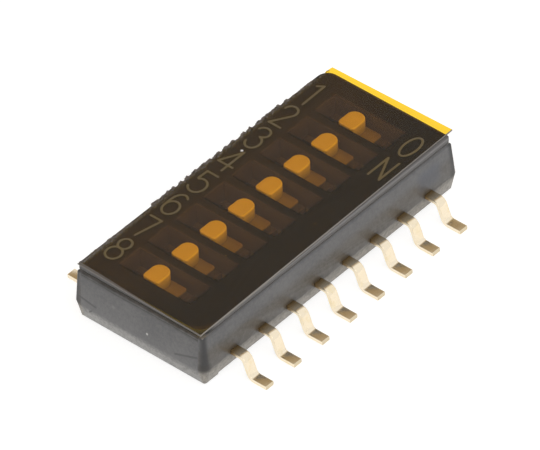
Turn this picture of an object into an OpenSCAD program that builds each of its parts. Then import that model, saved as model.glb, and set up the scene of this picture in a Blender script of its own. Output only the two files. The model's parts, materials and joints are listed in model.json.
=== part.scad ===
// Half-pitch slide switch for surface mounting: a moulded base and cover, a film seal over the top
// and, for each position, two formed terminals, a slider and the bridging contact that it carries.
// X runs along the row towards position 1, Y across it towards the numbers, Z up from the board.
// Every slider rests at OFF, at the number side. The ON side is -Y. All sizes are in millimetres.

/* [Switch] */
// Number of positions
positions = 8; // [4:1:10]
// Spacing of the positions
pitch = 1.27; // [1.25:0.01:1.6]
// Travel of each slider from OFF to ON
travel = 0.75; // [0.5:0.05:0.9]

/* [Base] */
// Length of the base beyond the positions' own spacing, at the parting line
end_margin = 1.42; // [1.3:0.02:2]
// Width of the base at the parting line
base_w = 5.23; // [5.1:0.01:6]
// Gap between the board and the underside
standoff = 0.1; // [0.05:0.01:0.3]
// Height of the base below the parting line
lower_h = 0.65; // [0.5:0.05:0.9]
// Height of the base above the parting line, up to its rim
upper_h = 1.18; // [1.1:0.02:1.6]
// How far the wall above the parting line leans in at the rim
upper_draft = 0.1; // [0.02:0.01:0.1]
// How far the wall below the parting line leans in at the underside
lower_draft = 0.15; // [0.02:0.01:0.15]
// Radius of two of the upright edges at the parting line
edge_r = 0.24; // [0.24:0.01:0.3]
// Radius of the other two, which are sharper
sharp_edge_r = 0.16; // [0.16:0.01:0.24]
// Bevel round the rim
rim_bevel = 0.05; // [0.02:0.01:0.05]
// Length of the skid at each end of the underside
skid_l = 0.75; // [0.5:0.05:0.9]
// Height of the skids
skid_h = 0.08; // [0.03:0.01:0.1]
// Thickness of the walls between the channels
divider_t = 0.2; // [0.15:0.01:0.24]
// Length of the channels
channel_l = 3.86; // [3.6:0.02:4]

/* [Cover] */
// How far the cover stands in from the base's rim
cover_inset = 0.04; // [0:0.01:0.08]
// Thickness of the cover's plate
plate_t = 0.2; // [0.15:0.01:0.3]
// Corner radius of the plate
plate_r = 0.4; // [0.3:0.02:0.6]
// Radius of the plate's two sharp corners
sharp_r = 0.07; // [0.03:0.01:0.2]
// Height of the open joint between plate and base
joint_h = 0.06; // [0.03:0.01:0.1]
// Depth of the open joint
joint_depth = 0.15; // [0.08:0.01:0.2]
// Length of the windows
window_l = 2.84; // [2.6:0.02:2.9]
// Width of the windows
window_w = 0.94; // [0.88:0.01:0.96]
// Shift of the windows towards the numbers
window_shift = 0.07; // [0:0.01:0.15]
// How far the cover's ribs reach down into the base
rib_depth = 0.5; // [0.3:0.02:0.55]
// Width of the rib beyond the end windows
end_rib = 0.3; // [0.2:0.02:0.34]

/* [Seal film] */
// Thickness of the film
film_t = 0.06; // [0.03:0.01:0.1]
// Overhang of the film past the cover at the far end, position 1
film_end = 0.24; // [0.05:0.01:0.3]
// Overhang of the film at the corner by the last position, ON side
film_corner = 0.14; // [0.05:0.01:0.2]
// How far the film's cut edge along the numbers stands in from the cover's edge
film_inset = 0.03; // [0:0.01:0.08]
// How far the film stands back from the ON side at position 1
film_setback = 0.1; // [0:0.01:0.15]
// How far the film is clipped off along position 1, number side
clip_w = 0.18; // [0.1:0.01:0.25]
// Length of that clipped corner
clip_l = 0.63; // [0.4:0.01:0.8]
// Plain run of the cut edge, before the teeth, at the last position
plain_l = 2.2; // [1.5:0.1:2.5]
// Depth of the teeth that the cutter left along the numbers
tooth_depth = 0.09; // [0.04:0.01:0.12]
// Spacing of those teeth
tooth_pitch = 0.47; // [0.3:0.01:0.6]

/* [Terminals] */
// Width across the tips of the feet
span = 7.99; // [7.7:0.01:9]
// Thickness of the strip
strip_t = 0.15; // [0.1:0.01:0.18]
// Width of the strip
strip_w = 0.34; // [0.25:0.01:0.4]
// Straight run from the wall to the first bend
shoulder = 0.32; // [0.15:0.01:0.4]
// Mean radius of both bends
bend_r = 0.22; // [0.15:0.01:0.24]
// Lean of the leg from upright, in degrees
leg_lean = 20; // [5:1:30]
// Width of the contact pads inside
pad_w = 0.6; // [0.45:0.01:0.8]
// Distance from the middle to the ON-side pad
on_pad_y = 0.48; // [0.44:0.01:0.55]
// Distance from the middle to the number-side pad
number_pad_y = 0.05; // [0:0.01:0.1]
// Distance from each channel's end to the wide part of the pad
pad_end = 0.25; // [0.1:0.05:0.5]

/* [Sliders] */
// Length of the slider's knob
knob_l = 0.64; // [0.62:0.02:0.7]
// Width of the knob and of the step beside it
knob_w = 0.76; // [0.64:0.02:0.84]
// Length of knob and step together
block_l = 1.15; // [0.9:0.01:1.25]
// Height of the knob above the step
step_h = 0.48; // [0.3:0.02:0.6]
// Radius of the knob's upright corners towards position 1
knob_r = 0.3; // [0.2:0.01:0.3]
// Radius of its other two upright corners
heel_r = 0.13; // [0.1:0.01:0.2]
// Radius of the step's upright corners
step_r = 0.11; // [0.03:0.01:0.2]
// Radius along the knob's top edges
knob_top_r = 0.06; // [0.03:0.01:0.1]
// Height of the slider's runner frame
runner_h = 0.25; // [0.2:0.01:0.3]
// Width of the runners
runner_w = 0.2; // [0.15:0.01:0.22]
// How far the hold-down flange reaches past the block
flange = 0.1; // [0.06:0.01:0.15]
// Side clearance of a slider in its channel
side_play = 0.02; // [0.01:0.005:0.03]
// Clearance over and under a slider
height_play = 0.03; // [0.01:0.005:0.04]
// Clearance at the ends of the travel
end_play = 0.02; // [0.01:0.005:0.05]
// Gap left between the step and the window's end at ON
window_gap = 0.12; // [0.03:0.01:0.15]

/* [Contacts] */
// Thickness of the contact's strip
contact_t = 0.06; // [0.04:0.01:0.07]
// Width of the contact
contact_w = 0.45; // [0.35:0.01:0.5]
// Height of its arch, from contact points to flat middle
contact_h = 0.36; // [0.3:0.01:0.4]
// Half length of its flat middle
contact_flat = 0.1; // [0.06:0.01:0.15]
// Radius of the bends beside it
contact_bend_r = 0.1; // [0.08:0.01:0.15]
// Radius of its contact points
point_r = 0.12; // [0.1:0.01:0.15]
// Fall of its arms, in degrees
arm_fall = 35; // [30:1:40]
// Length of its turned-up tips
contact_tip = 0.1; // [0.05:0.01:0.15]
// Working gap between the contact points and the pads
contact_gap = 0.01; // [0.005:0.005:0.02]

/* [Hidden] */
$fn = 64;
POSITIONS = [for (i = [1 : positions]) i];

black = [0.09, 0.09, 0.1];
amber = [0.75, 0.45, 0.05, 0.6];
gold = [0.85, 0.7, 0.4];
cream = [0.93, 0.9, 0.8];

// Shape of the film's teeth: their steep side's share of the spacing, how much their depth varies
// to each side of the middle, and the angle between one tooth's depth and the next
steep_share = 0.2;
uneven = 0.4;
tooth_phase = 137;

// Clearance of the cover's ribs in the base and of the knobs under the film
fit = 0.02;
// How far a cutting shape reaches past what it cuts
overcut = 1;

// Signs of X and Y at the four corners, anticlockwise
CORNERS = [[1, 1], [-1, 1], [-1, -1], [1, -1]];

// Heights
parting_z = standoff + lower_h;
rim_z = parting_z + upper_h;
floor_z = parting_z + strip_t / 2;
plate_z = rim_z + joint_h;
cover_z = plate_z + plate_t;
rib_z = rim_z - rib_depth;
divider_z = rib_z - height_play;

// Base and cover in plan
base_l = positions * pitch + end_margin;
rim_l = base_l - 2 * upper_draft;
rim_w = base_w - 2 * upper_draft;
cover_l = rim_l - 2 * cover_inset;
cover_w = rim_w - 2 * cover_inset;
base_radii = [edge_r, sharp_edge_r, edge_r, sharp_edge_r];
plate_radii = [plate_r, sharp_r, plate_r, sharp_r];
channel_w = pitch - divider_t;
well_l = (positions - 1) * pitch + window_w + 2 * end_rib;

// Slider at OFF
block_on_y = window_shift - window_l / 2 + window_gap + travel;
block_number_y = block_on_y + block_l;
knob_on_y = block_number_y - knob_l;
knob_z = cover_z - fit;
step_z = knob_z - step_h;
runner_z = floor_z + height_play;
flange_z = rib_z - height_play;
slider_w = channel_w - 2 * side_play;
runner_number_y = channel_l / 2 - end_play;
runner_on_y = travel + end_play - channel_l / 2;

// Contact, in the arch under the slider
arch_w = slider_w - 2 * runner_w;
contact_y = (runner_number_y + runner_on_y) / 2;
contact_z = floor_z + contact_gap + contact_h + contact_t / 2;
arch_z = contact_z + contact_t / 2;
arm_l = (contact_h - (contact_bend_r + point_r) * (1 - cos(arm_fall))) / sin(arm_fall);

// Terminal, outwards from the middle of the switch
leg_turn = 90 - leg_lean;
leg_l = (parting_z - strip_t / 2 - 2 * bend_r * (1 - cos(leg_turn))) / sin(leg_turn);
bend_y = base_w / 2 + shoulder;
foot_l = span / 2 - bend_y - 2 * bend_r * sin(leg_turn) - leg_l * cos(leg_turn);
pad_y = channel_l / 2 - pad_end;

function position_x(i) = ((positions + 1) / 2 - i) * pitch;

// A block whose sides lean in towards the top, with four corner radii, anticlockwise from +X +Y
module leaning_block(l, w, h, radii, lean) {
    difference() {
        intersection() {
            rotate([90, 0, 0]) linear_extrude(w, center = true) leaning_profile(l, h, lean);
            rotate([90, 0, 90]) linear_extrude(l, center = true) leaning_profile(w, h, lean);
        }
        for (k = [0 : 3])
            translate([CORNERS[k][0] * (l / 2 - radii[k]), CORNERS[k][1] * (w / 2 - radii[k]), 0])
                rotate(90 * k)
                    difference() {
                        cube([radii[k] + overcut, radii[k] + overcut, h]);
                        cylinder(h = h, r1 = radii[k], r2 = radii[k] - lean);
                    }
    }
}

module leaning_profile(w, h, lean) {
    polygon([[-w / 2, 0], [w / 2, 0], [w / 2 - lean, h], [-w / 2 + lean, h]]);
}

// A rectangle about the middle with four corner radii, anticlockwise from the corner at +X +Y
module round_rect(l, w, radii) {
    difference() {
        square([l, w], center = true);
        for (k = [0 : 3])
            translate([CORNERS[k][0] * (l / 2 - radii[k]), CORNERS[k][1] * (w / 2 - radii[k])])
                rotate(90 * k)
                    difference() {
                        square(radii[k] + overcut);
                        circle(radii[k]);
                    }
    }
}

// A box from one height to another, centred on X, from y0 to y1
module span_box(w, y0, y1, z0, z1) {
    translate([-w / 2, y0, z0]) cube([w, y1 - y0, z1 - z0]);
}

// A quarter-round bend to the left, from the X direction, of a strip t thick and w wide
module left_bend(r, turn, t, w) {
    translate([0, r, 0])
        rotate([0, 0, -90])
            rotate_extrude(angle = turn)
                translate([r - t / 2, -w / 2]) square([t, w]);
}

// A formed strip that sets out along X. Each step is a straight length, then a turn at a mean radius.
module formed_strip(steps, t, w) {
    run = steps[0][0];
    translate([0, -t / 2, -w / 2]) cube([run, t, w]);
    if (len(steps) > 1) {
        turn = abs(steps[0][1]);
        side = sign(steps[0][1]);
        r = steps[0][2];
        translate([run, 0, 0]) {
            mirror([0, 1 - side, 0]) left_bend(r, turn, t, w);
            translate([r * sin(turn), side * r * (1 - cos(turn)), 0])
                rotate([0, 0, side * turn])
                    formed_strip([for (k = [1 : len(steps) - 1]) steps[k]], t, w);
        }
    }
}

// ---- Housing ----

module base() {
    color(black)
        difference() {
            union() {
                translate([0, 0, parting_z]) {
                    mirror([0, 0, 1]) leaning_block(base_l, base_w, lower_h, base_radii, lower_draft);
                    leaning_block(base_l, base_w, upper_h - rim_bevel, base_radii, upper_draft);
                }
                translate([0, 0, rim_z - rim_bevel])
                    leaning_block(rim_l, rim_w, rim_bevel, [for (r = base_radii) r - upper_draft], rim_bevel);
            }
            span_box(base_l - 2 * skid_l, -base_w, base_w, 0, standoff + skid_h);
            translate([0, 0, divider_z])
                linear_extrude(overcut) square([well_l, channel_l], center = true);
            for (i = POSITIONS)
                translate([position_x(i), 0, 0]) {
                    span_box(channel_w, -channel_l / 2, channel_l / 2, floor_z, rim_z);
                    strip_slot(on_pad_y);
                    mirror([0, 1, 0]) strip_slot(number_pad_y);
                }
        }
}

// The room that the base leaves for one terminal, which is moulded in
module strip_slot(inner_y) {
    span_box(strip_w, -base_w / 2 - overcut, -inner_y, parting_z - strip_t / 2, floor_z);
    span_box(pad_w, -pad_y, -inner_y, parting_z - strip_t / 2, floor_z);
}

module cover() {
    color(black)
        difference() {
            union() {
                translate([0, 0, plate_z]) linear_extrude(plate_t) round_rect(cover_l, cover_w, plate_radii);
                translate([0, 0, rim_z])
                    linear_extrude(joint_h)
                        round_rect(cover_l - 2 * joint_depth, cover_w - 2 * joint_depth,
                            [for (r = plate_radii) max(r - joint_depth, sharp_r)]);
                translate([0, 0, rib_z])
                    linear_extrude(rib_depth) square([well_l - 2 * fit, channel_l - 2 * fit], center = true);
            }
            for (i = POSITIONS)
                translate([position_x(i), window_shift, rib_z - overcut])
                    linear_extrude(cover_z - rib_z + 2 * overcut)
                        square([window_w, window_l], center = true);
        }
}

// The film's cut edge: a run of teeth of uneven depth, each with a steep side and a slow one
function tooth_points(x0, y, count) = [
    for (k = [0 : count - 1], end = [0, 1])
        [x0 - (k + steep_share * end) * tooth_pitch,
         y - end * tooth_depth * (1 - uneven * (1 - sin(k * tooth_phase)))]
];

module seal_film() {
    near_x = -cover_l / 2 - film_corner;
    cut_y = cover_w / 2 - film_inset;
    clip_x = cover_l / 2 + film_end - clip_l;
    toothed_x = clip_x - tooth_pitch / 2;
    plain_x = -cover_l / 2 + plain_l;
    color(amber)
        translate([0, 0, cover_z])
            linear_extrude(film_t)
                polygon(concat(
                    [[near_x, -cover_w / 2 - film_corner / 2],
                     [cover_l / 2 + film_end, -cover_w / 2 + film_setback],
                     [cover_l / 2 + film_end, cover_w / 2 - clip_w],
                     [clip_x, cut_y - tooth_depth]],
                    tooth_points(toothed_x, cut_y, floor((toothed_x - plain_x) / tooth_pitch)),
                    [[plain_x, cut_y],
                     [-cover_l / 2 - film_inset, cut_y]]));
}

// ---- Terminals ----

// One strip, from its pad out through the ON-side wall and down to its foot
module terminal(i, inner_y) {
    color(gold)
        translate([position_x(i), 0, 0]) {
            span_box(pad_w, -pad_y, -inner_y, parting_z - strip_t / 2, floor_z);
            translate([0, -inner_y, parting_z])
                rotate([90, 0, -90])
                    formed_strip([[bend_y - inner_y, -leg_turn, bend_r], [leg_l, leg_turn, bend_r], [foot_l]],
                        strip_t, strip_w);
        }
}

module on_terminal(i) {
    terminal(i, on_pad_y);
}

module number_terminal(i) {
    mirror([0, 1, 0]) terminal(i, number_pad_y);
}

// ---- Sliders ----

// The knob, from y0 to y1: a broad round post, and a squarer one that fills its -X side
module knob(y0, y1) {
    translate([0, (y0 + y1) / 2, 0]) {
        post(knob_w, y1 - y0, knob_r);
        translate([-knob_r / 2, 0, 0]) post(knob_w - knob_r, y1 - y0, heel_r);
    }
}

// A post with round upright corners and round top edges
module post(w, l, r) {
    rotate([90, 0, 90]) linear_extrude(w - 2 * r, center = true) round_topped(l);
    rotate([90, 0, 0]) linear_extrude(l - 2 * r, center = true) round_topped(w);
    for (corner = CORNERS)
        translate([corner[0] * (w / 2 - r), corner[1] * (l / 2 - r), 0])
            rotate_extrude()
                intersection() {
                    round_topped(2 * r);
                    square([r, knob_z]);
                }
}

module round_topped(w) {
    translate([-w / 2, runner_z]) square([w, knob_z - knob_top_r - runner_z]);
    translate([-w / 2 + knob_top_r, runner_z]) square([w - 2 * knob_top_r, knob_z - runner_z]);
    for (side = [-1, 1]) translate([side * (w / 2 - knob_top_r), knob_z - knob_top_r]) circle(knob_top_r);
}

module slider(i) {
    color(cream)
        translate([position_x(i), 0, 0])
            difference() {
                union() {
                    span_box(slider_w, runner_on_y, runner_number_y, runner_z, runner_z + runner_h);
                    span_box(slider_w, block_on_y - flange, block_number_y + flange, runner_z, flange_z);
                    translate([0, block_on_y + block_l / 2, flange_z - runner_h])
                        linear_extrude(step_z - flange_z + runner_h)
                            round_rect(knob_w, block_l, [for (k = [0 : 3]) step_r]);
                    knob(knob_on_y, block_number_y);
                }
                span_box(arch_w, runner_on_y + runner_w, runner_number_y - runner_w,
                    runner_z - overcut, arch_z);
            }
}

// The bridging contact: a bow with two contact points, its middle held under the slider
module contact(i) {
    color(gold)
        translate([position_x(i), contact_y, contact_z])
            for (side = [0, 1])
                mirror([0, side, 0])
                    rotate([90, 0, 90])
                        formed_strip([[contact_flat, -arm_fall, contact_bend_r],
                                      [arm_l, 2 * arm_fall, point_r],
                                      [contact_tip]],
                            contact_t, contact_w);
}

base();
cover();
seal_film();
for (i = POSITIONS) {
    on_terminal(i);
    number_terminal(i);
    slider(i);
    contact(i);
}
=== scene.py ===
"""Half-pitch dip switch: finishes, seal film, printed marks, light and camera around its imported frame.

X runs along the row towards position 1, Y across it towards the numbers, Z up from the board.
Sizes here are in millimetres and are turned into metres by MM.
"""
import json
import math
import random

import bmesh
import bpy
from mathutils import Matrix, Vector

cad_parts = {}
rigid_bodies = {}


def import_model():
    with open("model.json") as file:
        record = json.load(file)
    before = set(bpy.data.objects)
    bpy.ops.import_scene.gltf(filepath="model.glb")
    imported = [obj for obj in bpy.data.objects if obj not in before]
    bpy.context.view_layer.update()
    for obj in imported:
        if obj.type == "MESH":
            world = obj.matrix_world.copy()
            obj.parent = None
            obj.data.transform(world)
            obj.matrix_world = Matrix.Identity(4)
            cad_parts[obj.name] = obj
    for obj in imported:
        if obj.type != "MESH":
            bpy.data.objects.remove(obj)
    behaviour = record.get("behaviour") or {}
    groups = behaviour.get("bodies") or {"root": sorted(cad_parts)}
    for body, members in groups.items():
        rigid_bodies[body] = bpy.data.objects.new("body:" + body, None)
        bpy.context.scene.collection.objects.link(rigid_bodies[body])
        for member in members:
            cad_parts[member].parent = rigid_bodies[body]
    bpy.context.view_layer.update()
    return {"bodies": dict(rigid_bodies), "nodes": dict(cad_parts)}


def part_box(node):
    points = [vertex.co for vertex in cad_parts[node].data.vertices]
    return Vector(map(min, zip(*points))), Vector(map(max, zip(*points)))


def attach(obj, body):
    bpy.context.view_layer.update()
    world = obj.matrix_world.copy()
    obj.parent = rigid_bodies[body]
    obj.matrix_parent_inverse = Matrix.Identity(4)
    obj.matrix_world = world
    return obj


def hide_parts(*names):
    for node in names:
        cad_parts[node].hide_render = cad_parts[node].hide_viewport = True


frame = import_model()

MM = 0.001
HOUSING = "housing"
POSITIONS = range(1, sum(name.startswith("slider_body_") for name in frame["bodies"]) + 1)


def box_mm(node):
    """A CAD node's lowest and highest corners, in millimetres."""
    low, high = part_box(node)
    return low / MM, high / MM


COVER_LOW, COVER_HIGH = box_mm("cover")
BASE_LOW, BASE_HIGH = box_mm("base")
FILM_LOW, FILM_HIGH = box_mm("seal_film")
LEAD_LOW, LEAD_HIGH = box_mm("on_terminal_1")


def position_x(i):
    """The middle of position i along the row."""
    low, high = box_mm(f"slider_{i}")
    return (low.x + high.x) / 2


PITCH = position_x(1) - position_x(2)
WINDOW_W = 0.94
WINDOW_LOW = -1.35
WINDOW_HIGH = 1.49
# The height at which the base's walls change their lean, and the underside of the cover's plate.
PARTING_Z = 0.75
PLATE_Z = COVER_HIGH.z - 0.2
# The film's skin lies this much below its solid, so that the ink on it stays inside.
INK_ROOM = 0.006
INK_HEIGHT = 0.003
STROKE_WIDTH = 0.078
# How far the film's end at position 1 stays behind the cover, and how far its other end is askew.
FILM_SETBACK = 0.1
FILM_SKEW = 0.09


def film_low_y(x):
    """The film's edge along the ON side, which starts past the cover and ends behind its edge."""
    share = (x - FILM_LOW.x) / (FILM_HIGH.x - FILM_LOW.x)
    return share * (COVER_LOW.y + FILM_SETBACK - FILM_LOW.y) + FILM_LOW.y


def film_low_x(y):
    """The film's edge at the last position, cut a little askew."""
    return (y - FILM_LOW.y) * (FILM_SKEW / (FILM_HIGH.y - FILM_LOW.y)) + FILM_LOW.x


# ---------------------------------------------------------------- node trees


class Value:
    """A number that varies over a surface or along a row. Arithmetic on it adds Math nodes."""

    def __init__(self, tree, socket):
        self.tree = tree
        self.socket = socket

    def math(self, operation, *others):
        node = self.tree.nodes.new("ShaderNodeMath")
        node.operation = operation
        for slot, item in zip(node.inputs, (self, *others)):
            plug(self.tree, slot, item)
        return Value(self.tree, node.outputs[0])

    def __add__(self, other):
        return self.math("ADD", other)

    __radd__ = __add__

    def __mul__(self, other):
        return self.math("MULTIPLY", other)

    __rmul__ = __mul__

    def __sub__(self, other):
        return self.math("SUBTRACT", other)

    def __rsub__(self, other):
        return (self * -1) + other

    def __truediv__(self, other):
        return self.math("DIVIDE", other)

    def above(self, edge, soft):
        """0 below edge, 1 above edge + soft, and smooth between."""
        node = self.tree.nodes.new("ShaderNodeMapRange")
        node.interpolation_type = "SMOOTHSTEP"
        for slot, item in zip(node.inputs, (self, edge, edge + soft)):
            plug(self.tree, slot, item)
        return Value(self.tree, node.outputs[0])


def plug(tree, slot, item):
    """Links a socket or a Value to a node's input, or writes a plain setting into it."""
    if isinstance(item, Value):
        item = item.socket
    if isinstance(item, bpy.types.NodeSocket):
        tree.links.new(item, slot)
    else:
        slot.default_value = item


def add(tree, kind, settings=None, **inputs):
    """Adds a node: its settings first, then its inputs by name, with _ for a space."""
    node = tree.nodes.new(kind)
    for name, setting in (settings or {}).items():
        setattr(node, name, setting)
    for name, item in inputs.items():
        plug(tree, node.inputs[name.replace("_", " ")], item)
    return node


class Finish:
    """One material, read in Object coordinates with millimetres as the unit."""

    def __init__(self, name):
        self.material = bpy.data.materials.new(name)
        self.material.use_nodes = True
        self.tree = self.material.node_tree
        self.tree.nodes.clear()
        self.output = self.tree.nodes.new("ShaderNodeOutputMaterial")
        place = self.tree.nodes.new("ShaderNodeTexCoord")
        scale = self.node("ShaderNodeVectorMath", {"operation": "SCALE"}, Vector=place.outputs["Object"],
                          Scale=1 / MM)
        self.place = scale.outputs[0]

    def node(self, kind, settings=None, **inputs):
        return add(self.tree, kind, settings, **inputs)

    def value(self, socket):
        return Value(self.tree, socket)

    def noise(self, size, detail=2.0, stretch=(1, 1, 1), roughness=0.5):
        """Soft noise between 0 and 1, with blotches about size millimetres wide."""
        place = self.node("ShaderNodeVectorMath", {"operation": "MULTIPLY"})
        plug(self.tree, place.inputs[0], self.place)
        plug(self.tree, place.inputs[1], stretch)
        texture = self.node("ShaderNodeTexNoise", Vector=place.outputs[0], Scale=1 / size, Detail=detail,
                            Roughness=roughness)
        return self.value(texture.outputs[0])

    def specks(self, spacing, radius, share):
        """1 inside small round specks, one in each share of the cells of a grid that is spacing wide."""
        cells = self.node("ShaderNodeTexVoronoi", Vector=self.place, Scale=1 / spacing)
        colour = self.node("ShaderNodeSeparateColor", Color=cells.outputs["Color"])
        chosen = self.value(colour.outputs[0]).math("LESS_THAN", share)
        distance = self.value(cells.outputs["Distance"])
        reach = radius / spacing
        return chosen * (1 - distance.above(reach * 0.6, reach * 0.4))

    def along(self, axis):
        """The place along X, Y or Z, in millimetres."""
        parts = self.node("ShaderNodeSeparateXYZ", Vector=self.place)
        return self.value(parts.outputs[axis])

    def from_middle(self):
        """How far along X a place is from the middle of its position, in millimetres."""
        return ((self.along("X") / PITCH).math("FRACT") - 0.5).math("ABSOLUTE") * PITCH

    def band(self, axis, low, high, soft):
        """1 between two places along X, Y or Z."""
        place = self.along(axis)
        return place.above(low - soft, soft) * (1 - place.above(high, soft))

    def near(self, place, size, soft):
        """1 inside a round spot of the given size round a place in millimetres."""
        distance = self.node("ShaderNodeVectorMath", {"operation": "DISTANCE"})
        plug(self.tree, distance.inputs[0], self.place)
        plug(self.tree, distance.inputs[1], place)
        return 1 - self.value(distance.outputs["Value"]).above(size, soft)

    def mix(self, share, first, second):
        """Two colours mixed by a share from 0 to 1."""
        node = self.node("ShaderNodeMix", {"data_type": "RGBA"})
        plug(self.tree, node.inputs[0], share)
        plug(self.tree, node.inputs[6], first)
        plug(self.tree, node.inputs[7], second)
        return node.outputs[2]

    def bump(self, height, depth):
        """A normal that leans with height, where 1 is depth millimetres high."""
        return self.node("ShaderNodeBump", Height=height, Distance=depth * MM, Strength=1.0).outputs[0]

    def plastic(self, **inputs):
        return self.node("ShaderNodeBsdfPrincipled", **inputs)

    def blend(self, share, first, second):
        """Two shaders mixed by a share from 0 to 1."""
        node = self.node("ShaderNodeMixShader", Fac=share)
        self.tree.links.new(first.outputs[0], node.inputs[1])
        self.tree.links.new(second.outputs[0], node.inputs[2])
        return node

    def surface(self, shader):
        self.tree.links.new(shader.outputs[0], self.output.inputs["Surface"])
        return self.material


def rgb(red, green, blue):
    """A colour given as screen levels from 0 to 255, as a linear colour."""
    def linear(level):
        c = level / 255
        return c / 12.92 if c <= 0.04045 else ((c + 0.055) / 1.055) ** 2.4
    return linear(red), linear(green), linear(blue), 1.0


# ---------------------------------------------------------------- finishes


def moulded_black(name, gloss, tone_of, taped_of=None):
    """Black glass-filled plastic: slightly mottled, satin, with a very fine moulded skin and a few specks.

    tone_of(f, cloud) gives its colour, with painted sheen and shade in it: outer walls painted greyer and
    paler towards the foot. taped_of(f) is 1 where tape sticks to it, so that it has no gloss of its own
    there.
    """
    f = Finish(name)
    cloud = f.noise(1.4, detail=3)
    grain = f.noise(0.05, detail=2)
    flow = f.noise(0.5, detail=2, stretch=(0.25, 1, 2.2))
    pale = f.specks(0.9, 0.035, 0.16)
    dark = f.specks(1.3, 0.045, 0.12)
    shade = tone_of(f, cloud * 0.6 + grain * 0.4)
    shade = f.mix(dark * 0.8, shade, rgb(12, 12, 13))
    shade = f.mix(pale * 0.7, shade, rgb(150, 146, 140))
    height = grain * 0.35 + flow * 0.6 + pale * 1.2 - dark * 1.5
    skin = f.plastic(Base_Color=shade, Roughness=gloss + cloud * 0.12 + grain * 0.1,
                     Normal=f.bump(height, 0.006), IOR=1.52)
    if taped_of is None:
        return f.surface(skin)
    return f.surface(f.blend(taped_of(f), skin, f.plastic(Base_Color=shade, Roughness=0.8,
                                                          Specular_IOR_Level=0.0)))


def within(f, high, x_wall, y_wall):
    """1 further inside a piece than its outer walls, which are x_wall and y_wall thick."""
    x, y = f.along("X").math("ABSOLUTE"), f.along("Y").math("ABSOLUTE")
    return (1 - x.above(high.x - x_wall, 0.02)) * (1 - y.above(high.y - y_wall, 0.02))


def base_tone(f, cloud):
    """Grey walls, painted paler towards the foot as a sheen, with painted shade at the corners
    and painted brown reflections of the leads round them.

    The ledge under the cover and the channels catch more light, and the underside is darker.
    """
    x, y, z = f.along("X"), f.along("Y"), f.along("Z")
    mottle_and_sheen = f.noise(0.12, detail=5, roughness=0.75)
    mottle = (cloud * 0.5 + mottle_and_sheen * 0.5).above(0.35, 0.3)
    long_side = y.math("ABSOLUTE").above(BASE_HIGH.y - 0.3, 0.05)
    short_side = 1 - long_side

    wall = f.mix(mottle, rgb(78, 78, 79), rgb(99, 98, 98))
    low_wall = f.mix(mottle, rgb(65, 61, 56), rgb(90, 87, 84))
    wall = f.mix(long_side * (1 - z.above(1.25, 0.35)), wall, low_wall)

    strip_z = 1.8
    blotch = f.noise(0.22, detail=3)
    strip = f.mix(blotch.above(0.3, 0.4), rgb(58, 56, 55), rgb(84, 82, 81))
    wall = f.mix(short_side * (z + blotch * 0.2).above(strip_z, 0.12), wall, strip)
    line_z = 1.87
    line = (z + f.noise(0.7, detail=3) * 0.1 - line_z).math("ABSOLUTE")
    wall = f.mix(short_side * (1 - line.above(0.008, 0.016)) * 0.7, wall, rgb(30, 29, 29))

    # Painted sheen: the walls are painted paler towards the foot, standing in for reflection.
    foot = f.mix(mottle_and_sheen.above(0.32, 0.36), f.mix(long_side, rgb(106, 104, 102), rgb(102, 97, 90)),
                 f.mix(long_side, rgb(146, 144, 141), rgb(144, 138, 128)))
    below = PARTING_Z - z + (mottle_and_sheen - 0.5) * 0.12
    foot_sheen = below.above(0.03, 0.34) * (1 - long_side * 0.5) + below.above(-0.01, 0.08) * long_side * 0.5
    wall = f.mix(foot_sheen, wall, foot)
    seam = 1 - below.math("ABSOLUTE").above(0.008, 0.02)
    wall = f.mix(seam * long_side * 0.3, wall, rgb(48, 47, 46))

    # Painted shade: the upright corners are darkened above the parting line.
    corner = x.math("ABSOLUTE").above(BASE_HIGH.x - 0.36, 0.2)
    corner = corner * y.math("ABSOLUTE").above(BASE_HIGH.y - 0.3, 0.2)
    wall = f.mix(corner * z.above(PARTING_Z - 0.05, 0.06) * 0.85, wall, rgb(36, 35, 36))
    # Painted reflection: brown smudges round each lead, where the gold mirrors in the wall.
    lead_reflection = (1 - f.from_middle().above(0.16, 0.16)) * long_side
    lead_reflection = lead_reflection * z.above(0.58, 0.1) * (1 - z.above(0.84, 0.16))
    wall = f.mix(lead_reflection * 0.7, wall, rgb(40, 35, 29))
    bluish = long_side * f.band("X", 4.25, 4.85, 0.35) * f.band("Z", 1.15, 1.5, 0.35)
    wall = f.mix(bluish * 0.5, wall, rgb(64, 70, 82))
    wall = wear_marks(f, wall)

    rim_wall = 0.16
    ledge = within(f, BASE_HIGH, rim_wall, rim_wall) * z.above(BASE_HIGH.z - 0.04, 0.02)
    wall = f.mix(ledge, wall, f.mix(long_side, rgb(112, 109, 106), rgb(124, 121, 118)))
    end_wall, side_wall = 0.45, 0.35
    middle = within(f, BASE_HIGH, end_wall, side_wall)
    inside = z.above(PARTING_Z - 0.3, 0.1)
    wall = f.mix(middle * (1 - inside), wall, f.mix(mottle, rgb(50, 49, 49), rgb(68, 67, 66)))
    return f.mix(middle * inside, wall, rgb(126, 121, 114))


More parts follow.
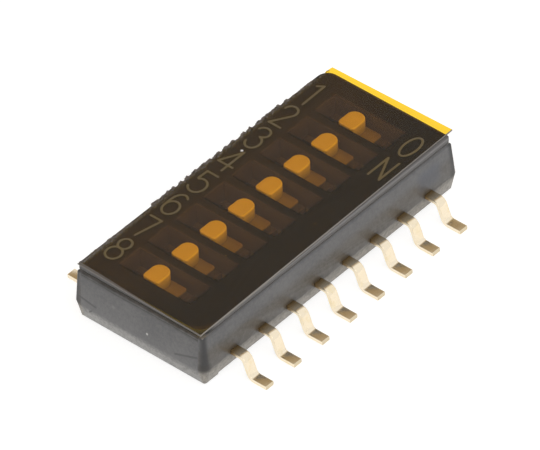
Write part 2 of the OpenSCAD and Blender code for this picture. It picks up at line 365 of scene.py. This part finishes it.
def wear_marks(f, wall):
    """Single marks on the short side at the last position: a pale worn spot, scratches, a streak and a chip.
    """
    def end_spot(y, z, size, soft):
        return f.near((BASE_LOW.x, y, z), size, soft)

    wall = f.mix(end_spot(1.03, 1.3, 0.02, 0.09) * 0.35, wall, rgb(142, 140, 138))
    end = 1 - f.along("X").above(BASE_LOW.x + 0.2, 0.05)
    # Each dark line: its slope, its height at Y = 0, where it starts and ends along Y, and how dark it is.
    lines = ((-0.34, 0.37, -2.3, -1.45, 0.65), (0.15, 0.635, 1.75, 2.6, 0.8), (-0.98, 2.53, 1.94, 2.04, 1.0))
    for slope, level, low, high, share in lines:
        line = (f.along("Z") - f.along("Y") * slope - level).math("ABSOLUTE")
        line = (1 - line.above(0.012, 0.05)) * f.band("Y", low, high, 0.07)
        wall = f.mix(line * end * share, wall, rgb(50, 49, 49))
    return f.mix(end_spot(-0.32, 1.0, 0.03, 0.03) * 0.7, wall, rgb(205, 202, 198))


def bare_rim(x, y):
    """1 on the cover's edge along the ON side, which the tape leaves bare."""
    return (film_low_y(x) - y).above(-0.01, 0.02)


def cover_tone(f, cloud):
    """Sides painted with a sheen above, palest on the ON side, and with shade towards the joint and under the
    tape's overhanging corner, round a black top whose windows are painted black with shade.
    """
    x, y, z = f.along("X"), f.along("Y"), f.along("Z")
    long_side = 1 - y.above(COVER_LOW.y + 0.12, 0.04)
    # Painted shadow: the sides darken towards the ON side, under the tape's overhang.
    short_side = f.mix(y.above(-1.4, 2.2), rgb(44, 43, 42), f.mix(cloud, rgb(78, 75, 73), rgb(96, 92, 89)))
    # Painted light: the ON side is paler than the others.
    sides = f.mix(long_side, short_side, f.mix(cloud, rgb(96, 93, 92), rgb(122, 118, 117)))
    # Painted shade: the sides are darker towards the joint, below the plate's upper edge.
    joint_shade = f.mix(long_side, rgb(66, 64, 63), rgb(82, 80, 79))
    sides = f.mix(z.above(PLATE_Z + 0.08, 0.07), joint_shade, sides)
    # Painted shadow: the near corner is nearly black under the tape's overhanging corner.
    sides = f.mix(f.near((COVER_LOW.x, COVER_LOW.y, COVER_HIGH.z), 0.35, 0.3), sides, rgb(18, 17, 16))
    # Painted shade: further in, round the windows and under the plate, the cover is dark.
    below = f.mix(within(f, COVER_HIGH, 0.35, 0.35), sides, rgb(46, 44, 42))

    top = f.mix(y.above(-1.7, 3.0), f.mix(cloud, rgb(36, 36, 35), rgb(42, 42, 41)),
                f.mix(cloud, rgb(51, 50, 46), rgb(60, 58, 54)))
    top = f.mix(x.above(COVER_HIGH.x - 0.1, 0.08), top, rgb(90, 88, 84))
    reach = 0.65
    centre = (COVER_LOW.x + reach, COVER_LOW.y + reach, COVER_HIGH.z)
    corner = (centre[0] - x).above(0, 0.1) * (centre[1] - y).above(0, 0.1)
    corner = corner * (1 - f.near(centre, reach - 0.06, 0.06))
    top = f.mix(corner, top, rgb(62, 60, 56))
    top = f.mix(bare_rim(x, y), top, f.mix(cloud, rgb(86, 84, 84), rgb(112, 109, 109)))
    return f.mix(z.above(COVER_HIGH.z - 0.045, 0.02), below, top)


def under_tape(f):
    """1 where the tape sticks to the cover's top."""
    on_top = f.along("Z").above(COVER_HIGH.z - 0.025, 0.02)
    return on_top * (1 - bare_rim(f.along("X"), f.along("Y")))


def plated_gold():
    """Thin gold plating over a rolled strip: bright, with faint rolling lines and yellower patches.

    It is painted dull and brown with shade where the strip leaves the housing, and its cut edges are rough.
    """
    f = Finish("plated_gold")
    lines = f.noise(0.05, detail=2, stretch=(1, 0.1, 0.1))
    patch = f.noise(0.3, detail=2)
    shade = f.mix(patch.above(0.5, 0.3) * 0.7, rgb(242, 228, 202), rgb(236, 216, 170))
    reach = f.along("Y").math("ABSOLUTE")
    # Painted shade: darker and browner where the strip comes out of the housing.
    shade = f.mix((1 - reach.above(BASE_HIGH.y + 0.04, 0.3)) * 0.85, shade, rgb(170, 137, 82))
    edge = 0.014
    cut = f.from_middle().above((LEAD_HIGH.x - LEAD_LOW.x) / 2 - edge, 0.01)
    cut = cut.math("MAXIMUM", reach.above(-LEAD_LOW.y - edge, 0.01))
    shade = f.mix(cut, shade, f.mix(patch, rgb(206, 192, 164), rgb(222, 207, 176)))
    return f.surface(f.plastic(Base_Color=shade, Metallic=1.0,
                               Roughness=0.17 + patch * 0.06 + lines * 0.03 + cut * 0.25,
                               Normal=f.bump(lines, 0.0006)))


def slider_cream():
    """Cream plastic, painted pale on its top edges as a highlight and greyer deeper in its window as shade.
    """
    f = Finish("slider_cream")
    cloud = f.noise(0.4)
    grain = f.noise(0.04)
    depth = COVER_HIGH.z - f.along("Z")
    shade = f.mix(cloud, rgb(212, 209, 180), rgb(226, 222, 194))
    # Each tone starts at a depth below the cover's top and blends in over the next figure. The first is a
    # painted highlight on the top edges, the second painted light on the upper face, the rest painted shade.
    for start, soft, tone in ((0.024, 0.012, rgb(252, 250, 230)), (0.06, 0.06, rgb(232, 226, 198)),
                              (0.08, 0.34, rgb(176, 170, 150)), (0.43, 0.03, rgb(138, 132, 116)),
                              (0.5, 0.06, rgb(80, 76, 72))):
        shade = f.mix(depth.above(start, soft), shade, tone)
    return f.surface(f.plastic(Base_Color=shade, Roughness=0.42 + grain * 0.15, Normal=f.bump(grain, 0.003)))


def print_ink():
    """Olive-brown marking ink, a little patchy."""
    f = Finish("print_ink")
    patch = f.noise(0.09, detail=3)
    return f.surface(f.plastic(Base_Color=f.mix(patch, rgb(92, 76, 38), rgb(115, 98, 58)), Roughness=0.6))


def clear_tape(f, x, y):
    """Amber tape whose faces each pass the root of its colour, so that one pass through it shows the whole.

    Where it spans a window it isn't stuck down, and its milky underside shows faintly.
    """
    wave = f.noise(1.6, detail=1)
    smear = f.noise(0.5, detail=3, stretch=(0.5, 1, 1))
    margin, soft = 0.03, 0.06
    loose = 1 - f.from_middle().above(WINDOW_W / 2 - margin, soft)
    loose = loose * y.above(WINDOW_LOW - margin, soft) * (1 - y.above(WINDOW_HIGH - margin, soft))
    loose = loose * (1 - x.math("ABSOLUTE").above(len(POSITIONS) / 2 * PITCH - 0.05, soft))
    tint = f.node("ShaderNodeBsdfTransparent", Color=(0.98, 0.79, 0.17, 1))
    skin = f.plastic(Base_Color=(0.75, 0.87, 1.0, 1), Metallic=0.7, Roughness=0.14 + smear * 0.14,
                     Normal=f.bump(wave, 0.02), IOR=1.45)
    milk = f.plastic(Base_Color=(0.83, 0.39, 0.16, 1), Roughness=1.0, Specular_IOR_Level=0.0)
    mirror = f.node("ShaderNodeFresnel", IOR=1.45, Normal=skin.inputs["Normal"].links[0].from_socket)
    outside = 1 - f.value(f.node("ShaderNodeNewGeometry").outputs["Backfacing"])
    gloss = f.value(mirror.outputs[0]) * (1.24 + smear * 0.2)
    return f.blend(loose * 0.04 * outside, f.blend(gloss * outside, tint, skin), milk)


def crushed_tape(f, x, y):
    """Where the tape is cut, torn or dusty, and what shows there: grey, scattering plastic."""
    short_cut = 1 - (x - film_low_x(y)).above(y.above(-1.0, 3.2) * 0.06 + 0.012, 0.02)
    long_cut = 1 - (y - film_low_y(x)).above(0.01, 0.015)
    near = 1 - x.above(-4.4, 1.8)
    streaks = f.noise(0.1, detail=4, stretch=(1, 2.2, 1), roughness=0.75)
    torn_y = FILM_HIGH.y - 0.17
    torn = (y - torn_y + near * 0.05 + (streaks - 0.5) * 0.4).above(0, 0.16)
    torn = torn * streaks.above(0.3, 0.3) * 0.9 + y.above(COVER_HIGH.y - 0.04, 0.03)
    torn = torn * (1 - x.above(COVER_HIGH.x - 0.06, 0.08))
    grey = f.mix(streaks.above(0.38, 0.24), rgb(44, 39, 36), rgb(118, 109, 101))
    creases = f.noise(0.05, detail=3, stretch=(0.15, 1.6, 1), roughness=0.6)
    grey = f.mix(near * creases.above(0.5, 0.12) * 0.8, grey, rgb(108, 102, 96))
    grey = f.mix(short_cut, grey, rgb(100, 95, 90))
    grey = f.mix(long_cut, grey, rgb(128, 123, 116))
    dust = f.near((1.18, 1.96, FILM_HIGH.z), 0.03, 0.04)
    crushed = f.plastic(Base_Color=f.mix(dust, grey, rgb(235, 233, 228)), Roughness=0.5)
    share = short_cut.math("MAXIMUM", long_cut).math("MAXIMUM", torn).math("MAXIMUM", dust)
    return share, crushed


def amber_film():
    """Clear amber tape with crushed edges."""
    f = Finish("amber_film")
    x, y = f.along("X"), f.along("Y")
    clear = clear_tape(f, x, y)
    share, crushed = crushed_tape(f, x, y)
    return f.surface(f.blend(share, clear, crushed))


def film_edge():
    """The tape's cut edge: frosted by the knife, so it scatters light instead of passing it."""
    f = Finish("film_edge")
    x, y = f.along("X"), f.along("Y")
    nicks = f.noise(0.06, detail=2)
    dull = f.mix(nicks, rgb(98, 94, 88), rgb(124, 119, 112))
    bright = f.mix(nicks, rgb(128, 123, 116), rgb(164, 158, 149))
    yellow = f.mix(nicks, rgb(222, 190, 84), rgb(244, 220, 130))
    shade = f.mix(x.above(FILM_LOW.x + 0.12, 0.04), dull, bright)
    number_side = y.above(COVER_LOW.y + 0.4, 0.04) * x.above(FILM_LOW.x + 0.2, 0.04)
    shade = f.mix(number_side, shade, dull)
    shade = f.mix(x.above(COVER_HIGH.x + 0.03, 0.04), shade, yellow)
    return f.surface(f.plastic(Base_Color=shade, Roughness=0.5))


BASE_BLACK = moulded_black("base_black", 0.28, base_tone)
COVER_BLACK = moulded_black("cover_black", 0.36, cover_tone, under_tape)
GOLD = plated_gold()
CREAM = slider_cream()
INK = print_ink()
FILM = amber_film()
FILM_EDGE = film_edge()


# ---------------------------------------------------------------- pieces


def finish_piece(piece, body, slot, *nodes):
    """Lets a piece ride on its body and stand for CAD nodes. Its slot is not used."""
    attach(piece, body)
    if nodes:
        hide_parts(*nodes)


def new_object(name, mesh, *materials):
    piece = bpy.data.objects.new(name, mesh)
    bpy.context.scene.collection.objects.link(piece)
    mesh.materials.clear()
    for material in materials:
        mesh.materials.append(material)
    return piece


def softened(node, name, width, material):
    """A copy of a CAD node whose sharp edges are rounded by width millimetres."""
    mesh = frame["nodes"][node].data.copy()
    mesh.name = name
    work = bmesh.new()
    work.from_mesh(mesh)
    bmesh.ops.remove_doubles(work, verts=work.verts, dist=0.0002 * MM)
    bmesh.ops.dissolve_limit(work, angle_limit=math.radians(0.5), verts=work.verts, edges=work.edges)
    work.to_mesh(mesh)
    work.free()
    piece = new_object(name, mesh, material)
    bevel = piece.modifiers.new("soft_edges", "BEVEL")
    bevel.width = width * MM
    bevel.segments = 2
    bevel.limit_method = "ANGLE"
    bevel.angle_limit = math.radians(35)
    bevel.harden_normals = False
    evaluated = piece.evaluated_get(bpy.context.evaluated_depsgraph_get())
    rounded = bpy.data.meshes.new_from_object(evaluated)
    piece.modifiers.clear()
    piece.data = rounded
    bpy.data.meshes.remove(mesh)
    rounded.name = name
    rounded.shade_smooth()
    rounded.set_sharp_from_angle(angle=math.radians(40))
    return piece


def seal_film():
    """The tape: cut a little askew, its edge along the numbers torn, and pressed thin there by the knife."""
    rng = random.Random(7)
    low, high = FILM_LOW, FILM_HIGH
    lift = 0.006
    droop = 0.12
    end_skew = 0.1
    pressed_y = 2.3
    columns = 360
    # Places across the film, from 0 to 1, which stand closer near the torn edge.
    rows = [k / 14 * 0.94 for k in range(15)] + [0.955, 0.965, 0.975, 0.983, 0.99, 0.995, 1]
    teeth = []
    x = low.x
    while x < high.x:
        width = rng.uniform(0.22, 0.52)
        teeth.append((x, width, rng.uniform(0.25, 1.0)))
        x += width
    rough = [rng.uniform(-0.02, 0.02) for c in range(columns + 1)]
    dip_start, dip_end = -3.55, -2.35
    teeth_end = 3.9
    slant_start, slant_end = 4.98, 5.22

    def high_y(x):
        """The torn edge: a shallow dip, then teeth, then a slanting cut that leaves the end narrower."""
        edge = high.y
        if slant_start < x < slant_end:
            edge -= 0.09 * (x - slant_start) / (slant_end - slant_start)
        if x >= slant_end:
            edge -= 0.08
        if dip_end < x < teeth_end:
            edge += 0.07
            for start, width, depth in teeth:
                if start <= x < start + width:
                    edge -= 0.14 * depth * (1 - (x - start) / width)
        if dip_start < x <= dip_end:
            edge -= 0.03
        return edge + rough[round((x - low.x) / (high.x - low.x) * columns)]

    def pressed(x):
        """How hard the knife pressed at x, from 0 to 1."""
        near = min(1, max(0, (-2.6 - x) / 1.6))
        far = min(1, max(0, (x - 3.3) / 1.2)) * 0.5
        streak = 0.6 + 0.25 * math.sin(x * 9.1) + 0.15 * math.sin(x * 23.7)
        return (near + far) * streak

    def point(u, v, top):
        """A corner of the film's mesh, u along the row and v across it, on its top or its underside."""
        x = low.x + FILM_SKEW * v + (high.x - end_skew * v - low.x - FILM_SKEW * v) * u
        y = film_low_y(x) + (high_y(x) - film_low_y(x)) * v
        past = max(0, COVER_LOW.x - x, COVER_LOW.y - y)
        z = high.z - INK_ROOM - pressed(x) * 0.3 * max(0, y - pressed_y) if top else low.z + lift
        return Vector((x, y, z - droop * past)) * MM

    work = bmesh.new()
    layers = []
    for top in (False, True):
        layers.append([[work.verts.new(point(c / columns, v, top)) for v in rows]
                       for c in range(columns + 1)])
    under, over = layers
    last = len(rows) - 1
    for c in range(columns):
        for r in range(last):
            work.faces.new((over[c][r], over[c + 1][r], over[c + 1][r + 1], over[c][r + 1]))
            work.faces.new((under[c][r], under[c][r + 1], under[c + 1][r + 1], under[c + 1][r]))
    border = [(c, 0) for c in range(columns)] + [(columns, r) for r in range(last)]
    border += [(c, last) for c in range(columns, 0, -1)] + [(0, r) for r in range(last, 0, -1)]
    for (c, r), (c2, r2) in zip(border, border[1:] + border[:1]):
        face = work.faces.new((under[c][r], under[c2][r2], over[c2][r2], over[c][r]))
        face.material_index = 1
    mesh = bpy.data.meshes.new("film")
    work.to_mesh(mesh)
    work.free()
    finish_piece(new_object("film", mesh, FILM, FILM_EDGE), HOUSING, "film", "seal_film")


def arc(x, y, rx, ry, start, end, steps=20):
    """Points along an ellipse, from one angle to another, in degrees."""
    turns = [math.radians(start + (end - start) * k / steps) for k in range(steps + 1)]
    return [(x + rx * math.cos(t), y + ry * math.sin(t)) for t in turns]


# Each mark is a list of strokes in a box that is 1 wide and 1 high. A stroke has no sharp turns.
GLYPHS = {
    "1": [[(0.18, 0.87), (0.56, 1.0)], [(0.56, 1.0), (0.6, 0.0)]],
    "2": [arc(0.46, 0.77, 0.46, 0.23, 175, -35), [(0.837, 0.638), (0.04, 0.03)],
          [(0.04, 0.03), (0.96, 0.03)]],
    "3": [arc(0.46, 0.79, 0.46, 0.21, 165, -80), arc(0.52, 0.3, 0.48, 0.28, 88, -165)],
    "4": [[(0.76, 0.0), (0.76, 1.0)], [(0.76, 1.0), (-0.02, 0.28)], [(-0.02, 0.28), (1.12, 0.28)]],
    "5": [[(0.98, 0.95), (0.14, 0.95)], [(0.14, 0.95), (0.1, 0.58)],
          arc(0.52, 0.3, 0.56, 0.31, 128, -150)],
    "6": [arc(0.6, 0.6, 0.5, 0.37, 50, 180) + [(0.1, 0.31)], arc(0.6, 0.31, 0.5, 0.3, 180, 540, 40)],
    "7": [[(0.12, 0.93), (1.0, 0.93)], [(1.0, 0.93), (0.56, 0.0)]],
    "8": [arc(0.64, 0.755, 0.42, 0.225, -90, 270, 40), arc(0.62, 0.275, 0.51, 0.27, 90, 450, 40)],
    "O": [arc(0.5, 0.5, 0.5, 0.5, 0, 360, 48)],
    "N": [[(0.0, 0.0), (0.0, 1.0)], [(0.0, 1.0), (1.0, 0.0)], [(1.0, 0.0), (1.0, 1.0)]],
}


def stroke_tree(name, material):
    """A Geometry Nodes tree: every path becomes a flat ribbon of ink with round ends, and they are joined.

    Paths and sizes are in millimetres, and the result is in metres.
    """
    tree = bpy.data.node_groups.new(name, "GeometryNodeTree")
    tree.interface.new_socket("Paths", in_out="INPUT", socket_type="NodeSocketGeometry")
    for label, size in (("Stroke width", STROKE_WIDTH), ("Ink height", INK_HEIGHT)):
        socket = tree.interface.new_socket(label, in_out="INPUT", socket_type="NodeSocketFloat")
        socket.default_value = size
    tree.interface.new_socket("Marks", in_out="OUTPUT", socket_type="NodeSocketGeometry")
    given = tree.nodes.new("NodeGroupInput")
    result = tree.nodes.new("NodeGroupOutput")
    width, height = given.outputs["Stroke width"], given.outputs["Ink height"]
    profile = add(tree, "GeometryNodeCurvePrimitiveQuadrilateral", Width=width, Height=height)
    ribbon = add(tree, "GeometryNodeCurveToMesh", Curve=given.outputs["Paths"],
                 Profile_Curve=profile.outputs[0], Fill_Caps=True)
    ends = add(tree, "GeometryNodeCurveEndpointSelection")
    disc = add(tree, "GeometryNodeMeshCylinder", Vertices=20, Radius=Value(tree, width) * 0.5, Depth=height)
    caps = add(tree, "GeometryNodeInstanceOnPoints", Points=given.outputs["Paths"], Selection=ends.outputs[0],
               Instance=disc.outputs[0])
    round_ends = add(tree, "GeometryNodeRealizeInstances", Geometry=caps.outputs[0])
    joined = add(tree, "GeometryNodeMeshBoolean", {"operation": "UNION", "solver": "EXACT"},
                 Self_Intersection=True)
    for piece in (ribbon, round_ends):
        tree.links.new(piece.outputs[0], joined.inputs["Mesh 2"])
    metres = add(tree, "GeometryNodeTransform", Geometry=joined.outputs[0], Scale=(MM, MM, MM))
    real = add(tree, "GeometryNodeRealizeInstances", Geometry=metres.outputs[0])
    inked = add(tree, "GeometryNodeSetMaterial", Geometry=real.outputs[0], Material=material)
    tree.links.new(inked.outputs[0], result.inputs[0])
    return tree


def from_tree(name, start, tree, settings):
    """Runs a Geometry Nodes tree on an object and returns its result as a plain mesh object."""
    bpy.context.scene.collection.objects.link(start)
    modifier = start.modifiers.new("tree", "NODES")
    modifier.node_group = tree
    for item in tree.interface.items_tree:
        if item.name in settings:
            modifier[item.identifier] = settings[item.name]
    evaluated = start.evaluated_get(bpy.context.evaluated_depsgraph_get())
    mesh = bpy.data.meshes.new_from_object(evaluated)
    mesh.name = name
    bpy.data.objects.remove(start)
    piece = bpy.data.objects.new(name, mesh)
    bpy.context.scene.collection.objects.link(piece)
    return piece


def printed_marks():
    """The numbers along one side and ON along the other, their tops towards +X."""
    # Each mark, its lower left corner along X and Y, its width and its height.
    marks = [(str(i), position_x(i) - 0.52, 2.22, 0.5, 1.04) for i in POSITIONS]
    marks += [("O", 4.01, -1.69, 0.46, 0.97), ("N", 2.76, -1.71, 0.43, 0.94)]
    middle_z = FILM_HIGH.z - INK_ROOM + 0.002
    curve = bpy.data.curves.new("mark_paths", "CURVE")
    curve.dimensions = "3D"
    for glyph, x, y, wide, high in marks:
        for stroke in GLYPHS[glyph]:
            closed = math.dist(stroke[0], stroke[-1]) < 0.001
            if closed:
                stroke = stroke[:-1]
            spline = curve.splines.new("POLY")
            spline.use_cyclic_u = closed
            spline.points.add(len(stroke) - 1)
            for place, (right, up) in zip(spline.points, stroke):
                place.co = (x + up * high, y - right * wide, middle_z, 1)
    paths = bpy.data.objects.new("mark_paths", curve)
    piece = from_tree("printed_marks", paths, stroke_tree("ink_strokes", INK),
                      {"Stroke width": STROKE_WIDTH, "Ink height": INK_HEIGHT})
    finish_piece(piece, HOUSING, "film")


def housing():
    finish_piece(softened("base", "base_body", 0.025, BASE_BLACK), HOUSING, "base_plastic", "base")
    finish_piece(softened("cover", "cover_plate", 0.018, COVER_BLACK), HOUSING, "cover_plastic", "cover")


def terminals():
    for i in POSITIONS:
        for side in ("on", "number"):
            node = f"{side}_terminal_{i}"
            finish_piece(softened(node, f"{side}_strip_{i}", 0.02, GOLD), HOUSING, "terminal_metal", node)


def sliders():
    for i in POSITIONS:
        finish_piece(softened(f"slider_{i}", f"knob_{i}", 0.06, CREAM), f"slider_body_{i}",
                     "slider_plastic", f"slider_{i}")
        contact = frame["nodes"][f"contact_{i}"]
        contact.data.materials.clear()
        contact.data.materials.append(GOLD)


# ---------------------------------------------------------------- stage


def camera():
    """A long lens that looks down on the near ON-side corner."""
    azimuth = math.radians(-46.78)
    elevation = math.radians(41.81)
    roll = math.radians(-2.97)
    distance = 313.8
    back = Vector((math.sin(azimuth) * math.cos(elevation), -math.cos(azimuth) * math.cos(elevation),
                   math.sin(elevation)))
    level = Vector((math.cos(azimuth), math.sin(azimuth), 0))
    rise = back.cross(level)
    right = level * math.cos(roll) + rise * math.sin(roll)
    up = rise * math.cos(roll) - level * math.sin(roll)
    aim = Vector((0, -0.04, 1.2)) + right * 0.0837 - up * 0.0184
    data = bpy.data.cameras.new("camera")
    data.lens = 694.96
    data.sensor_width = 36
    data.clip_start = 0.01
    eye = bpy.data.objects.new("camera", data)
    turn = Matrix((right, up, back)).transposed().to_4x4()
    eye.matrix_world = Matrix.Translation((aim + back * distance) * MM) @ turn
    bpy.context.scene.collection.objects.link(eye)
    bpy.context.scene.camera = eye


def dim_side():
    """A dim warm screen, curved over the far upper side, with soft edges. The camera doesn't see it."""
    radius = 900
    work = bmesh.new()
    bmesh.ops.create_uvsphere(work, u_segments=32, v_segments=16, radius=radius * MM)
    mesh = bpy.data.meshes.new("screen")
    work.to_mesh(mesh)
    work.free()
    f = Finish("screen_dim")
    shade = (f.along("Z") / radius).above(0.2, 0.4) * (f.along("Y") / radius).above(-0.1, 0.4)
    f.surface(f.blend(shade, f.node("ShaderNodeBsdfTransparent"),
                      f.node("ShaderNodeEmission", Color=(0.36, 0.28, 0.17, 1))))
    screen = new_object("screen", mesh, f.material)
    screen.visible_camera = False


def studio():
    """A white room, and a white floor that keeps a faint shadow."""
    world = bpy.data.worlds.new("studio")
    bpy.context.scene.world = world
    world.use_nodes = True
    tree = world.node_tree
    tree.nodes.clear()
    light = add(tree, "ShaderNodeBackground", Color=(1, 1, 1, 1), Strength=1.0)
    output = tree.nodes.new("ShaderNodeOutputWorld")
    tree.links.new(light.outputs[0], output.inputs[0])

    side = 60 * MM
    mesh = bpy.data.meshes.new("floor")
    mesh.from_pydata([(-side, -side, 0), (side, -side, 0), (side, side, 0), (-side, side, 0)], [],
                     [(0, 1, 2, 3)])
    f = Finish("floor_white")
    path = f.tree.nodes.new("ShaderNodeLightPath")
    seen = f.value(path.outputs["Is Camera Ray"])
    for kind in ("Is Glossy Ray", "Is Transmission Ray"):
        seen = seen.math("MAXIMUM", f.value(path.outputs[kind]))
    f.surface(f.plastic(Base_Color=(0.45, 0.45, 0.45, 1), Roughness=0.9, Specular_IOR_Level=0.0,
                        Emission_Color=(1, 1, 1, 1), Emission_Strength=0.62 + seen * 0.14))
    floor = new_object("floor", mesh, f.material)
    floor.location.z = -0.002 * MM


def key_lamp():
    """One soft lamp from the ON side, towards the last position."""
    data = bpy.data.lights.new("key", "AREA")
    data.shape = "RECTANGLE"
    data.size, data.size_y = 0.12, 0.08
    data.energy = 0.02
    lamp = bpy.data.objects.new("key", data)
    lamp.location = (-0.06, -0.12, 0.11)
    lamp.rotation_euler = (Vector((0, 0, 0)) - lamp.location).to_track_quat("-Z", "Y").to_euler()
    bpy.context.scene.collection.objects.link(lamp)


camera()
studio()
dim_side()
key_lamp()
housing()
terminals()
sliders()
seal_film()
printed_marks()

bpy.context.scene.view_settings.view_transform = "Standard"
